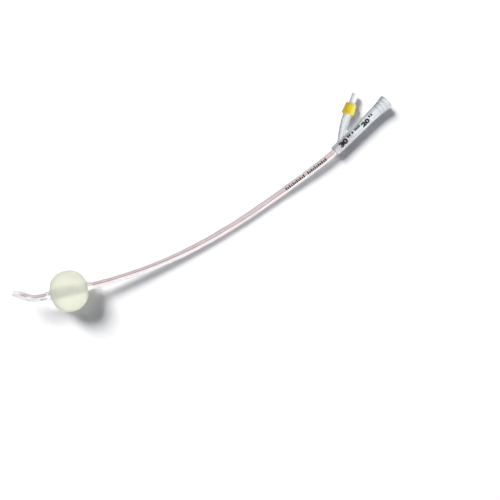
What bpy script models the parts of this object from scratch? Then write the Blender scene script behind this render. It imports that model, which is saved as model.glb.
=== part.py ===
"""Two-way urinary catheter with a retention balloon, lying on a flat surface with its balloon filled.

A soft tube with a wide drainage lumen and a narrow filling lumen runs from a moulded Y connector to an
obliquely cut tip with two eyes. The connector has a drainage funnel and a filling arm. A spring-loaded
valve closes the arm: a syringe's nose pushes its plunger in. The filling lumen opens inside the balloon.

+X runs out of the funnel's mouth along its axis and +Z is up. The origin is on the surface that the
catheter lies on, under the middle of its outline.
"""

import math

import bmesh
import bpy
import numpy as np
from mathutils import Matrix, Vector

MM = 0.001
MERGE = 0.00001

# Clearance between pieces that are bonded or seated on each other
SEAT_GAP = 0.3 * MM

# How far a cutter runs on past the face that it opens
CUT_PAST = 10.0 * MM

# Tube, size 20 on the Charriere scale
TUBE_D = 6.67 * MM
DRAIN_LUMEN_D = 4.0 * MM
FILL_LUMEN_D = 0.8 * MM
FILL_LUMEN_COVER = 0.435 * MM
LUMEN_WALL = 0.45 * MM
SKIVE_D = 1.0 * MM
SKIVE_FROM_TUBE_START = 12.0 * MM

# Tip of the tube: one oblique cut and two eyes
TIP_CUT_ANGLE = math.radians(23.5)
TIP_CUT_TILT = math.radians(30.0)
TIP_BLUNT = 2.5 * MM
EYE_WIDTH = 3.0 * MM
FRONT_EYE_LENGTH = 4.4 * MM
FRONT_EYE_FROM_END = 15.5 * MM
FRONT_EYE_TURN = math.radians(8.0)
REAR_EYE_LENGTH = 5.8 * MM
REAR_EYE_FROM_END = 28.0 * MM
REAR_EYE_TURN = math.radians(40.0)

# Balloon
BALLOON_D = 37.8 * MM
BALLOON_LENGTH = 34.2 * MM
BALLOON_WALL = 0.4 * MM
BALLOON_SQUARENESS = 2.25
BALLOON_CUFF = 4.0 * MM
BALLOON_CUFF_ROUND = 0.8 * MM
BALLOON_FROM_END = 51.2 * MM

# Connector: lengths run back from the mouth's plane
BODY_LENGTH = 66.7 * MM
BODY_WALL = 1.45 * MM
TUBE_END_WALL = 1.2 * MM
NECK_LENGTH = 7.0 * MM
MOUTH_D = 13.8 * MM
MOUTH_WALL = 1.6 * MM
BAND_STEPS_IN = (0.0, 0.5 * MM, 1.05 * MM)
BAND_BACK = (4.2 * MM, 8.1 * MM, 11.7 * MM)
BAND_TAPER = 0.25 * MM
FLARE_DEPTH = 16.0 * MM
THROAT_D = 6.8 * MM
TUBE_STOP_LEDGE = 1.1 * MM
TUBE_STOP_DEPTH = 44.1 * MM
EDGE_ROUND = 0.35 * MM

# Filling arm, from its root in the body to its open end
ARM_ROOT_FROM_COLLAR = 9.5 * MM
ARM_ROOT_OFFSET = 2.2 * MM
ARM_ROOT_ANGLE = math.radians(38.0)
ARM_END_ANGLE = math.radians(25.6)
ARM_BEND_LENGTH = 27.2 * MM
ARM_STRAIGHT = 7.2 * MM
ARM_ROOT_D = 6.0 * MM
ARM_END_D = 8.4 * MM
ARM_BORE_ROOT_D = 2.0 * MM
WEB_THICKNESS = 2.4 * MM
WEB_REACH = 15.0 * MM

# Valve
COLLAR_BASE_WALL = 1.45 * MM
COLLAR_TOP_WALL = 0.8 * MM
COLLAR_LID = 0.9 * MM
COLLAR_ROUND = 1.5 * MM
FLANGE_THICKNESS = 0.8 * MM
LUER_MOUTH_D = 4.3 * MM
LUER_DEPTH = 8.0 * MM
LUER_TAPER = 0.06
PORT_WALL = 0.75 * MM
PORT_PASSAGE_LENGTH = 3.8 * MM
CHAMBER_DEPTH = 3.7 * MM
CHAMBER_FLOOR = 1.3 * MM
CHAMBER_BORE_D = 3.5 * MM
CHAMBER_WALL = 0.6 * MM
CHAMBER_OUTLET_D = 1.4 * MM
CHAMBER_BARBS = 3
BARB_HEIGHT = 0.3 * MM
BARB_SLOPE_SHARE = 0.8
PLUNGER_STEM_D = 1.1 * MM
PLUNGER_STEM_CLEARANCE = 0.4 * MM
PLUNGER_TOP_CHAMFER = 0.2 * MM
PLUNGER_INTO_PORT = 1.9 * MM
PLUNGER_HEAD = 0.5 * MM
PLUNGER_GUIDE = 1.5 * MM
SEAL_THICKNESS = 0.8 * MM
SPRING_WIRE_D = 0.4 * MM
SPRING_TURNS = 7
SPRING_END_PITCH = 0.5 * MM

# Facets round each kind of shape, and points along it
BODY_STEPS = 32
VALVE_STEPS = 20
COLLAR_STEPS = 28
COLLAR_ROUND_STEPS = 4
BALLOON_STEPS = 32
BALLOON_STATIONS = 15
EYE_STEPS = 16
WEB_EDGE_STEPS = 6
ARM_BEND_STEPS = 12
SPRING_STEPS = 10
PATH_STEP = 1.0 * MM
TUBE_STATION = 5.0 * MM
SHARP_ANGLE = math.radians(40.0)

# How far the free tube reaches back along the funnel's axis, from its exit to its tip
LAID_REACH = 299.0 * MM

# The free tube's centre: mm along and across the funnel's axis from the tube's exit, and how far up it is.
# From the exit, 1 is the height of the funnel's axis and 0 is a tube that lies on the surface.
ROUTE_FROM_EXIT = (
    (-6.3, 0.2, 0.97),
    (-13.3, 0.9, 0.89),
    (-28.3, 2.6, 0.635),
    (-43.3, 4.6, 0.355),
    (-58.3, 6.7, 0.13),
    (-73.3, 9.0, 0.018),
)
# To the tip, 0 is a tube that lies on the surface and 1 is the height of the balloon's middle. The tube
# rises to the balloon, runs straight through it and bends on to the tip.
ROUTE_TO_TIP = (
    (-88.3, 11.5, 0.001),
    (-103.3, 14.2, 0.001),
    (-118.3, 17.3, 0.004),
    (-133.3, 20.8, 0.014),
    (-148.3, 24.8, 0.036),
    (-163.3, 29.3, 0.078),
    (-178.3, 34.4, 0.146),
    (-193.3, 40.2, 0.235),
    (-208.3, 46.7, 0.354),
    (-223.3, 54.0, 0.499),
    (-235.3, 60.3, 0.637),
    (-246.3, 66.7, 0.772),
    (-263.6, 77.1, 1.003),
    (-279.9, 86.9, 1.222),
    (-283.8, 89.3, 1.273),
    (-287.9, 91.9, 1.331),
    (-291.1, 95.0, 1.385),
    (-293.5, 98.7, 1.437),
    (-295.4, 102.6, 1.482),
    (-297.2, 106.6, 1.533),
    (-299.0, 110.3, 1.585),
)

TUBE_R = TUBE_D / 2
SOCKET_R = TUBE_R + SEAT_GAP
FILL_LUMEN_OFFSET = TUBE_R - FILL_LUMEN_COVER - FILL_LUMEN_D / 2
DRAIN_LUMEN_OFFSET = FILL_LUMEN_OFFSET - FILL_LUMEN_D / 2 - LUMEN_WALL - DRAIN_LUMEN_D / 2
TIP_BLOCK = 6 * TUBE_D

AXIS_HEIGHT = MOUTH_D / 2

# The route's millimetres follow the reach, and the origin is under the middle of the outline
LAY_SCALE = LAID_REACH / -ROUTE_TO_TIP[-1][0]
LAID_ACROSS = ROUTE_TO_TIP[-1][1] * LAY_SCALE
MOUTH_AT = Vector((LAID_REACH + TUBE_R + BODY_LENGTH, AXIS_HEIGHT - LAID_ACROSS, 0.0)) / 2

BODY_R = SOCKET_R + BODY_WALL
TUBE_END_R = SOCKET_R + TUBE_END_WALL
MOUTH_BORE_R = MOUTH_D / 2 - MOUTH_WALL

# Radii of the valve's pieces, each from the one that it fits in or round
ARM_END_R = ARM_END_D / 2
COLLAR_BORE_R = ARM_END_R + SEAT_GAP
FLANGE_R = COLLAR_BORE_R - SEAT_GAP
PORT_R = LUER_MOUTH_D / 2 + PORT_WALL
CHAMBER_BORE_R = CHAMBER_BORE_D / 2
CHAMBER_ROOT_R = CHAMBER_BORE_R + CHAMBER_WALL
CHAMBER_BARB_R = CHAMBER_ROOT_R + BARB_HEIGHT
ARM_BORE_R = CHAMBER_BARB_R + SEAT_GAP
HEAD_R = CHAMBER_BORE_R - SEAT_GAP
SPRING_WIRE_R = SPRING_WIRE_D / 2
SPRING_COIL_R = HEAD_R - SPRING_WIRE_R
GUIDE_R = SPRING_COIL_R - SPRING_WIRE_R - SEAT_GAP
STEM_R = PLUNGER_STEM_D / 2
PASSAGE_R = STEM_R + PLUNGER_STEM_CLEARANCE

# Heights of the valve's seats, outwards along the arm from the collar's base
CHAMBER_INSIDE_LOW = CHAMBER_FLOOR - CHAMBER_DEPTH
CHAMBER_FLANGE_LOW = ARM_STRAIGHT + SEAT_GAP
CHAMBER_TOP = CHAMBER_FLANGE_LOW + FLANGE_THICKNESS
PORT_FLANGE_LOW = CHAMBER_TOP + SEAT_GAP
PORT_FLANGE_TOP = PORT_FLANGE_LOW + FLANGE_THICKNESS
COLLAR_INSIDE_TOP = PORT_FLANGE_TOP + SEAT_GAP
COLLAR_TOP = COLLAR_INSIDE_TOP + COLLAR_LID
LUER_BOTTOM = PORT_FLANGE_LOW + PORT_PASSAGE_LENGTH
PORT_END = LUER_BOTTOM + LUER_DEPTH
SEAL_TOP = PORT_FLANGE_LOW - SEAT_GAP
SEAL_LOW = SEAL_TOP - SEAL_THICKNESS
HEAD_TOP = SEAL_LOW - SEAT_GAP
HEAD_LOW = HEAD_TOP - PLUNGER_HEAD


def clear_scene():
    for obj in list(bpy.data.objects):
        bpy.data.objects.remove(obj, do_unlink=True)


def new_collection(name):
    collection = bpy.data.collections.new(name)
    bpy.context.scene.collection.children.link(collection)
    return collection


def material(name, colour, roughness, alpha=1.0):
    mat = bpy.data.materials.new(name)
    mat.use_nodes = True
    shader = mat.node_tree.nodes["Principled BSDF"]
    shader.inputs["Base Color"].default_value = (*colour, 1.0)
    shader.inputs["Roughness"].default_value = roughness
    shader.inputs["Metallic"].default_value = 0.0
    shader.inputs["Alpha"].default_value = alpha
    mat.diffuse_color = (*colour, alpha)
    return mat


def add_object(name, data, collection, mat=None):
    obj = bpy.data.objects.new(name, data)
    collection.objects.link(obj)
    if mat is not None:
        data.materials.append(mat)
    return obj


def turned(name, profile, steps, place, collection, mat=None, closed=False):
    """Sweeps a profile of (radius, height) points round Z and puts the shape at the matrix place."""
    mesh = bpy.data.meshes.new(name)
    edges = [(i, i + 1) for i in range(len(profile) - 1)]
    if closed:
        edges.append((len(profile) - 1, 0))
    mesh.from_pydata([(r, 0.0, h) for r, h in profile], edges, [])
    obj = add_object(name, mesh, collection, mat)
    obj.matrix_world = place
    screw = obj.modifiers.new("turn", "SCREW")
    screw.axis = "Z"
    screw.angle = 2 * math.pi
    screw.steps = steps
    screw.render_steps = steps
    screw.use_merge_vertices = True
    screw.merge_threshold = MERGE
    return obj


def mesh_from_curve(obj, collection, mat=None):
    """Replaces a curve object by the mesh that it shows, with its end caps welded on."""
    bpy.context.view_layer.update()
    evaluated = obj.evaluated_get(bpy.context.evaluated_depsgraph_get())
    mesh = bpy.data.meshes.new_from_object(evaluated)
    name = obj.name
    place = obj.matrix_world.copy()
    bpy.data.objects.remove(obj, do_unlink=True)
    work = bmesh.new()
    work.from_mesh(mesh)
    bmesh.ops.remove_doubles(work, verts=work.verts, dist=MERGE)
    bmesh.ops.recalc_face_normals(work, faces=work.faces)
    work.to_mesh(mesh)
    work.free()
    mesh.name = name
    result = add_object(name, mesh, collection, mat)
    result.matrix_world = place
    mesh.shade_smooth()
    mesh.set_sharp_from_angle(angle=SHARP_ANGLE)
    return result


def tube_along(name, points, radii, resolution, collection, mat=None):
    """A closed round bar through the points. radii holds one radius for each point."""
    curve = bpy.data.curves.new(name, "CURVE")
    curve.dimensions = "3D"
    curve.bevel_depth = max(radii)
    curve.bevel_resolution = resolution
    curve.use_fill_caps = True
    spline = curve.splines.new("POLY")
    spline.points.add(len(points) - 1)
    for knot, point, radius in zip(spline.points, points, radii):
        knot.co = (*point, 1.0)
        knot.radius = radius / max(radii)
    return mesh_from_curve(add_object(name, curve, collection), collection, mat)


def boolean(obj, operation, other, label):
    cut = obj.modifiers.new(label, "BOOLEAN")
    cut.operation = operation
    cut.solver = "EXACT"
    cut.object = other
    other.hide_render = True
    other.display_type = "WIRE"


def spline_through(points, step):
    """Points every step along a natural cubic spline through the given points."""
    knots = np.array(points)
    chord = np.linalg.norm(np.diff(knots, axis=0), axis=1)
    at = np.concatenate([[0.0], np.cumsum(chord)])
    count = len(knots)
    matrix = np.eye(count)
    right = np.zeros((count, 3))
    for i in range(1, count - 1):
        before, after = chord[i - 1], chord[i]
        matrix[i, i - 1 : i + 2] = before, 2 * (before + after), after
        rise = (knots[i + 1] - knots[i]) / after - (knots[i] - knots[i - 1]) / before
        right[i] = 6 * rise
    bend = np.linalg.solve(matrix, right)
    result = []
    for s in np.linspace(0.0, at[-1], max(2, round(at[-1] / step) + 1)):
        i = min(int(np.searchsorted(at, s, side="right")) - 1, count - 2)
        h, a, b = chord[i], at[i + 1] - s, s - at[i]
        curved = (bend[i] * a**3 + bend[i + 1] * b**3) / (6 * h)
        straight = (knots[i] / h - bend[i] * h / 6) * a + (knots[i + 1] / h - bend[i + 1] * h / 6) * b
        result.append(Vector(curved + straight))
    return result


class TubePath:
    """The tube's centre line, with a frame at any length along it from the end in the connector."""

    def __init__(self, points):
        self.points = spline_through(points, PATH_STEP)
        steps = [(b - a).length for a, b in zip(self.points, self.points[1:])]
        self.at = np.concatenate([[0.0], np.cumsum(steps)])
        self.length = float(self.at[-1])

    def point(self, s):
        i = min(max(int(np.searchsorted(self.at, s, side="right")) - 1, 0), len(self.points) - 2)
        share = (s - self.at[i]) / (self.at[i + 1] - self.at[i])
        return self.points[i].lerp(self.points[i + 1], share)

    def frame(self, s):
        """The centre, the direction towards the tip, the side that the arm is on, and the top."""
        low, high = max(s - PATH_STEP, 0.0), min(s + PATH_STEP, self.length)
        along = (self.point(high) - self.point(low)).normalized()
        side = along.cross(Vector((0, 0, 1))).normalized()
        return self.point(s), along, side, side.cross(along)

    def offset(self, start, end, step, sideways):
        """Points from start to end, moved sideways from the centre line."""
        count = max(2, round((end - start) / step) + 1)
        points = []
        for s in np.linspace(start, end, count):
            centre, _, side, _ = self.frame(s)
            points.append(centre + side * sideways)
        return points


def tube_path():
    exit_point = MOUTH_AT + Vector((-BODY_LENGTH, 0, AXIS_HEIGHT))
    start = MOUTH_AT + Vector((-TUBE_STOP_DEPTH - SEAT_GAP, 0, AXIS_HEIGHT))
    free = []
    for route, full_height in ((ROUTE_FROM_EXIT, AXIS_HEIGHT), (ROUTE_TO_TIP, BALLOON_D / 2)):
        for along, across, rise in route:
            height = TUBE_R + rise * (full_height - TUBE_R)
            laid = Vector((along, across)) * LAY_SCALE
            free.append(Vector((exit_point.x + laid.x, exit_point.y + laid.y, height)))
    return TubePath([start, start.lerp(exit_point, 0.5), exit_point, *free])


def extended(points, reach):
    """The same points, with one more in line beyond each end."""
    first = points[0] + (points[0] - points[1]).normalized() * reach
    last = points[-1] + (points[-1] - points[-2]).normalized() * reach
    return [first, *points, last]


def wall_cutter(name, path, s, turn, length, width, cutters):
    """An oval punch from the tube's centre out through one wall. turn tips it from the arm's side
    towards the top."""
    centre, along, side, top = path.frame(s)
    out = side * math.cos(turn) + top * math.sin(turn)
    reach = TUBE_D
    across = out.cross(along)
    axes = Matrix((along * length / 2, across * width / 2, out * reach)).transposed()
    place = Matrix.Translation(centre + out * reach / 2) @ axes.to_4x4()
    mesh = bpy.data.meshes.new(name)
    work = bmesh.new()
    bmesh.ops.create_cone(
        work, cap_ends=True, segments=EYE_STEPS, radius1=1, radius2=1, depth=1, matrix=place
    )
    work.to_mesh(mesh)
    work.free()
    return add_object(name, mesh, cutters)


def tip_cutter(path, cutters):
    """A block whose lower face is the oblique cut of the tip."""
    end, along, side, top = path.frame(path.length)
    towards = side * math.cos(TIP_CUT_TILT) + top * math.sin(TIP_CUT_TILT)
    normal = along * math.sin(TIP_CUT_ANGLE) + towards * math.cos(TIP_CUT_ANGLE)
    foot = end - towards * (TUBE_R - TIP_BLUNT)
    turn = normal.to_track_quat("Z", "X").to_matrix().to_4x4()
    place = Matrix.Translation(foot + normal * TIP_BLOCK / 2) @ turn @ Matrix.Scale(TIP_BLOCK, 4)
    mesh = bpy.data.meshes.new("tip_cut")
    work = bmesh.new()
    bmesh.ops.create_cube(work, size=1, matrix=place)
    work.to_mesh(mesh)
    work.free()
    return add_object("tip_cut", mesh, cutters)


def make_tube(path, parts, cutters, mat):
    outline = path.offset(0.0, path.length, TUBE_STATION, 0.0)
    tube = tube_along("catheter_tube", outline, [TUBE_R] * len(outline), 4, parts, mat)

    drain = extended(path.offset(0.0, path.length, TUBE_STATION, DRAIN_LUMEN_OFFSET), TUBE_R)
    drain_cut = tube_along("drain_lumen", drain, [DRAIN_LUMEN_D / 2] * len(drain), 2, cutters)
    boolean(tube, "DIFFERENCE", drain_cut, "drain lumen")

    balloon_at = path.length - BALLOON_FROM_END
    fill = path.offset(
        SKIVE_FROM_TUBE_START - SKIVE_D, balloon_at + SKIVE_D, TUBE_STATION, FILL_LUMEN_OFFSET
    )
    fill_cut = tube_along("fill_lumen", fill, [FILL_LUMEN_D / 2] * len(fill), 1, cutters)
    boolean(tube, "DIFFERENCE", fill_cut, "fill lumen")

    for name, s in (("fill_inlet", SKIVE_FROM_TUBE_START), ("fill_outlet", balloon_at)):
        centre, _, side, _ = path.frame(s)
        points = [centre + side * FILL_LUMEN_OFFSET, centre + side * TUBE_D]
        cut = tube_along(name, points, [SKIVE_D / 2] * 2, 2, cutters)
        boolean(tube, "DIFFERENCE", cut, name)

    boolean(tube, "DIFFERENCE", tip_cutter(path, cutters), "tip cut")
    quarter = math.pi / 2
    eyes = (
        ("front_eye", FRONT_EYE_FROM_END, quarter + FRONT_EYE_TURN, FRONT_EYE_LENGTH),
        ("rear_eye", REAR_EYE_FROM_END, quarter + REAR_EYE_TURN, REAR_EYE_LENGTH),
    )
    for name, from_end, turn, length in eyes:
        punch = wall_cutter(name, path, path.length - from_end, turn, length, EYE_WIDTH, cutters)
        boolean(tube, "DIFFERENCE", punch, name)


def balloon_profile():
    """The balloon's inner surface from one cuff's end to the other, as (radius, height) points."""
    cuff_r = SOCKET_R
    inner_r = BALLOON_D / 2 - BALLOON_WALL
    half = BALLOON_LENGTH / 2 - BALLOON_WALL
    power = 2 / BALLOON_SQUARENESS
    profile = []
    for i in range(BALLOON_STATIONS * 2 + 1):
        angle = math.pi * i / (BALLOON_STATIONS * 2)
        radius = inner_r * math.sin(angle) ** power
        height = half * math.copysign(abs(math.cos(angle)) ** power, math.cos(angle))
        if radius > cuff_r + BALLOON_CUFF_ROUND:
            profile.append((radius, height))
    cuff_end = half + BALLOON_CUFF
    shoulder = half + BALLOON_CUFF_ROUND
    return [(cuff_r, cuff_end), (cuff_r, shoulder), *profile, (cuff_r, -shoulder), (cuff_r, -cuff_end)]


def make_balloon(path, parts, mat):
    centre, along, _, _ = path.frame(path.length - BALLOON_FROM_END)
    place = Matrix.Translation(centre) @ along.to_track_quat("Z", "X").to_matrix().to_4x4()
    balloon = turned("retention_balloon", balloon_profile(), BALLOON_STEPS, place, parts, mat)
    shell = balloon.modifiers.new("wall", "SOLIDIFY")
    shell.thickness = BALLOON_WALL
    shell.offset = 1.0
    shell.use_even_offset = True


def body_profile():
    """The connector's outside, as (radius, height) points with the mouth at height 0."""
    profile = [(0.0, 0.0), (MOUTH_D / 2 - EDGE_ROUND, 0.0), (MOUTH_D / 2, -EDGE_ROUND)]
    start = 0.0
    for step_in, back in zip(BAND_STEPS_IN, BAND_BACK):
        radius = MOUTH_D / 2 - step_in
        if start > 0.0:
            profile.append((radius, -start))
        profile.append((radius - BAND_TAPER, -back))
        start = back
    profile.append((BODY_R + EDGE_ROUND, -start))
    profile.append((BODY_R, -start - NECK_LENGTH))
    profile.append((TUBE_END_R, EDGE_ROUND - BODY_LENGTH))
    profile.append((TUBE_END_R - EDGE_ROUND, -BODY_LENGTH))
    profile.append((0.0, -BODY_LENGTH))
    return profile


def bore_profile():
    """The connector's drainage bore and the tube's socket, run past both ends."""
    return [
        (0.0, CUT_PAST),
        (MOUTH_BORE_R + EDGE_ROUND, CUT_PAST),
        (MOUTH_BORE_R + EDGE_ROUND, EDGE_ROUND),
        (MOUTH_BORE_R - EDGE_ROUND, -EDGE_ROUND),
        ((MOUTH_BORE_R + THROAT_D / 2) / 2, -FLARE_DEPTH / 2),
        (THROAT_D / 2, -FLARE_DEPTH),
        (SOCKET_R - TUBE_STOP_LEDGE, -TUBE_STOP_DEPTH),
        (SOCKET_R, -TUBE_STOP_DEPTH),
        (SOCKET_R, -BODY_LENGTH - CUT_PAST),
        (0.0, -BODY_LENGTH - CUT_PAST),
    ]


def arm_root():
    return MOUTH_AT + Vector((ARM_ROOT_FROM_COLLAR - BODY_LENGTH, ARM_ROOT_OFFSET, AXIS_HEIGHT))


def arm_stations():
    """The arm's centre points from its root to its open end, with the length to each."""
    step = ARM_BEND_LENGTH / ARM_BEND_STEPS
    point = arm_root()
    stations = [(0.0, point.copy())]
    for i in range(ARM_BEND_STEPS):
        share = (i + 0.5) / ARM_BEND_STEPS
        heading = ARM_ROOT_ANGLE + (ARM_END_ANGLE - ARM_ROOT_ANGLE) * share
        point = point + Vector((math.cos(heading), math.sin(heading), 0)) * step
        stations.append(((i + 1) * step, point.copy()))
    end = point + arm_direction() * ARM_STRAIGHT
    stations.append((ARM_BEND_LENGTH + ARM_STRAIGHT, end))
    return stations


def arm_direction():
    return Vector((math.cos(ARM_END_ANGLE), math.sin(ARM_END_ANGLE), 0))


def web_outline():
    """The web in the fork: an outline from the arm's root along the body to a hollow round edge."""
    root = arm_root()
    base_y = MOUTH_AT.y + BODY_R - EDGE_ROUND
    end_x = root.x + WEB_REACH
    top = min((p for _, p in arm_stations()), key=lambda p: abs(p.x - end_x))
    height = top.y - ARM_ROOT_D / 2 - base_y
    low_y = base_y - EDGE_ROUND
    points = [(root.x, root.y), (root.x + WEB_REACH / 2, low_y), (end_x, low_y)]
    for i in range(WEB_EDGE_STEPS + 1):
        angle = math.pi * i / WEB_EDGE_STEPS
        inwards = math.sin(angle) * height / 2
        points.append((end_x - inwards, base_y + height * (1 - math.cos(angle)) / 2))
    points.append((top.x, top.y))
    return points


def web_block(cutters):
    curve = bpy.data.curves.new("web", "CURVE")
    curve.dimensions = "2D"
    curve.fill_mode = "BOTH"
    curve.extrude = WEB_THICKNESS / 2
    outline = web_outline()
    spline = curve.splines.new("POLY")
    spline.points.add(len(outline) - 1)
    for knot, (x, y) in zip(spline.points, outline):
        knot.co = (x, y, 0.0, 1.0)
    spline.use_cyclic_u = True
    flat = add_object("web", curve, cutters)
    flat.matrix_world = Matrix.Translation((0, 0, AXIS_HEIGHT))
    return mesh_from_curve(flat, cutters)


def widening(stations, start_r, end_r, full_at):
    """A radius for each station: start_r at the root, and end_r from the length full_at on."""
    return [start_r + (end_r - start_r) * min(1.0, s / full_at) for s, _ in stations]


def make_connector(parts, cutters, mat):
    mouth = MOUTH_AT + Vector((0, 0, AXIS_HEIGHT))
    lay_down = Matrix.Translation(mouth) @ Matrix.Rotation(math.pi / 2, 4, "Y")
    body = turned("y_connector", body_profile(), BODY_STEPS, lay_down, parts, mat)

    stations = arm_stations()
    centres = [p for _, p in stations]
    radii = widening(stations, ARM_ROOT_D / 2, ARM_END_R, ARM_BEND_LENGTH)
    boolean(body, "UNION", tube_along("arm", centres, radii, 8, cutters), "arm")
    boolean(body, "UNION", web_block(cutters), "web")

    bore = turned("drainage_bore", bore_profile(), BODY_STEPS, lay_down, cutters)
    boolean(body, "DIFFERENCE", bore, "drainage bore")

    seat_from = ARM_BEND_LENGTH - CHAMBER_DEPTH - SEAT_GAP
    bore_radii = widening(stations, ARM_BORE_ROOT_D / 2, ARM_BORE_R, seat_from)
    past_end = centres[-1] + arm_direction() * CUT_PAST
    arm_bore = tube_along("arm_bore", [*centres, past_end], [*bore_radii, ARM_BORE_R], 6, cutters)
    boolean(body, "DIFFERENCE", arm_bore, "arm bore")


def valve_place():
    """The matrix that sets a valve piece turned round Z on the arm, with height 0 at the collar's base."""
    base = arm_stations()[-2][1]
    return (
        Matrix.Translation(base)
        @ Matrix.Rotation(ARM_END_ANGLE, 4, "Z")
        @ Matrix.Rotation(math.pi / 2, 4, "Y")
    )


def make_valve_collar(parts, mat):
    hole = PORT_R + SEAT_GAP
    top_r = COLLAR_BORE_R + COLLAR_TOP_WALL
    base_r = COLLAR_BORE_R + COLLAR_BASE_WALL
    profile = [(hole, COLLAR_TOP)]
    for i in range(COLLAR_ROUND_STEPS + 1):
        angle = math.pi / 2 * (1 - i / COLLAR_ROUND_STEPS)
        across = top_r - COLLAR_ROUND * (1 - math.cos(angle))
        profile.append((across, COLLAR_TOP - COLLAR_ROUND * (1 - math.sin(angle))))
    profile += [
        (base_r, EDGE_ROUND),
        (base_r - EDGE_ROUND, 0.0),
        (COLLAR_BORE_R, 0.0),
        (COLLAR_BORE_R, COLLAR_INSIDE_TOP),
        (hole, COLLAR_INSIDE_TOP),
    ]
    turned("valve_collar", profile, COLLAR_STEPS, valve_place(), parts, mat, closed=True)


def make_luer_port(parts, mat):
    mouth = LUER_MOUTH_D / 2
    deep = mouth - LUER_DEPTH * LUER_TAPER / 2
    profile = [
        (PORT_R - EDGE_ROUND / 2, PORT_END),
        (PORT_R, PORT_END - EDGE_ROUND),
        (PORT_R, PORT_FLANGE_TOP),
        (FLANGE_R, PORT_FLANGE_TOP),
        (FLANGE_R, PORT_FLANGE_LOW),
        (PASSAGE_R, PORT_FLANGE_LOW),
        (PASSAGE_R, LUER_BOTTOM),
        (deep, LUER_BOTTOM),
        (mouth, PORT_END),
    ]
    turned("luer_port", profile, VALVE_STEPS, valve_place(), parts, mat, closed=True)


def make_valve_chamber(parts, mat):
    """A barbed cup in the arm's end. The spring stands on its floor."""
    root = CHAMBER_ROOT_R
    pitch = (ARM_STRAIGHT + CHAMBER_DEPTH) / (CHAMBER_BARBS + 1)
    profile = [(FLANGE_R, CHAMBER_TOP), (FLANGE_R, CHAMBER_FLANGE_LOW), (root, CHAMBER_FLANGE_LOW)]
    for i in range(CHAMBER_BARBS):
        height = ARM_STRAIGHT - pitch * (i + 0.5)
        profile += [(root, height), (CHAMBER_BARB_R, height), (root, height - pitch * BARB_SLOPE_SHARE)]
    profile += [
        (root - EDGE_ROUND, -CHAMBER_DEPTH),
        (CHAMBER_OUTLET_D / 2, -CHAMBER_DEPTH),
        (CHAMBER_OUTLET_D / 2, CHAMBER_INSIDE_LOW),
        (CHAMBER_BORE_R, CHAMBER_INSIDE_LOW),
        (CHAMBER_BORE_R, CHAMBER_TOP),
    ]
    turned("valve_chamber", profile, VALVE_STEPS, valve_place(), parts, mat, closed=True)


def make_valve_plunger(parts, mat):
    top = LUER_BOTTOM + PLUNGER_INTO_PORT
    profile = [
        (0.0, top),
        (STEM_R - PLUNGER_TOP_CHAMFER, top),
        (STEM_R, top - PLUNGER_TOP_CHAMFER),
        (STEM_R, HEAD_TOP),
        (HEAD_R, HEAD_TOP),
        (HEAD_R, HEAD_LOW),
        (GUIDE_R, HEAD_LOW),
        (GUIDE_R, HEAD_LOW - PLUNGER_GUIDE),
        (0.0, HEAD_LOW - PLUNGER_GUIDE),
    ]
    turned("valve_plunger", profile, VALVE_STEPS, valve_place(), parts, mat)


def make_valve_seal(parts, mat):
    inner = STEM_R + SEAT_GAP
    profile = [(HEAD_R, SEAL_TOP), (HEAD_R, SEAL_LOW), (inner, SEAL_LOW), (inner, SEAL_TOP)]
    turned("valve_seal", profile, VALVE_STEPS, valve_place(), parts, mat, closed=True)


def make_valve_spring(parts, mat):
    """A coil whose end turns lie flat on the chamber's floor and under the plunger's head."""
    low = CHAMBER_INSIDE_LOW + SEAT_GAP + SPRING_WIRE_R
    high = HEAD_LOW - SEAT_GAP - SPRING_WIRE_R
    open_pitch = (high - low - 2 * SPRING_END_PITCH) / (SPRING_TURNS - 2)
    points = []
    for i in range(SPRING_TURNS * SPRING_STEPS + 1):
        turns = i / SPRING_STEPS
        if turns <= 1:
            height = low + SPRING_END_PITCH * turns
        elif turns >= SPRING_TURNS - 1:
            height = high - SPRING_END_PITCH * (SPRING_TURNS - turns)
        else:
            height = low + SPRING_END_PITCH + open_pitch * (turns - 1)
        angle = 2 * math.pi * turns
        across = SPRING_COIL_R * Vector((math.cos(angle), math.sin(angle), 0))
        points.append(across + Vector((0, 0, height)))
    spring = tube_along("valve_spring", points, [SPRING_WIRE_R] * len(points), 2, parts, mat)
    spring.matrix_world = valve_place()


def main():
    clear_scene()
    parts = new_collection("urinary_catheter")
    cutters = new_collection("cutters")

    clear_soft = material("clear soft plastic", (0.84, 0.88, 0.89), 0.25, 0.5)
    clear_rigid = material("clear rigid plastic", (0.88, 0.89, 0.90), 0.12, 0.5)
    white_rigid = material("white rigid plastic", (0.85, 0.85, 0.83), 0.35)
    yellow = material("yellow plastic", (0.86, 0.66, 0.07), 0.35)
    latex = material("cream latex", (0.80, 0.80, 0.58), 0.40, 0.8)
    rubber = material("black rubber", (0.06, 0.06, 0.06), 0.60)
    steel = material("spring steel", (0.60, 0.60, 0.62), 0.30)
    steel.node_tree.nodes["Principled BSDF"].inputs["Metallic"].default_value = 1.0

    path = tube_path()
    make_tube(path, parts, cutters, clear_soft)
    make_balloon(path, parts, latex)
    make_connector(parts, cutters, clear_soft)
    make_valve_collar(parts, yellow)
    make_luer_port(parts, clear_rigid)
    make_valve_chamber(parts, clear_rigid)
    make_valve_plunger(parts, white_rigid)
    make_valve_seal(parts, rubber)
    make_valve_spring(parts, steel)


main()
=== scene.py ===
"""The looks of a two-way urinary catheter with a filled retention balloon, lying on a white floor.

Metres, +Z up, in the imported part's own frame. Every piece is a finer mesh of the solid that it stands for.
"""

import math

import bmesh
import bpy
import numpy as np
from mathutils import Matrix, Vector


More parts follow.
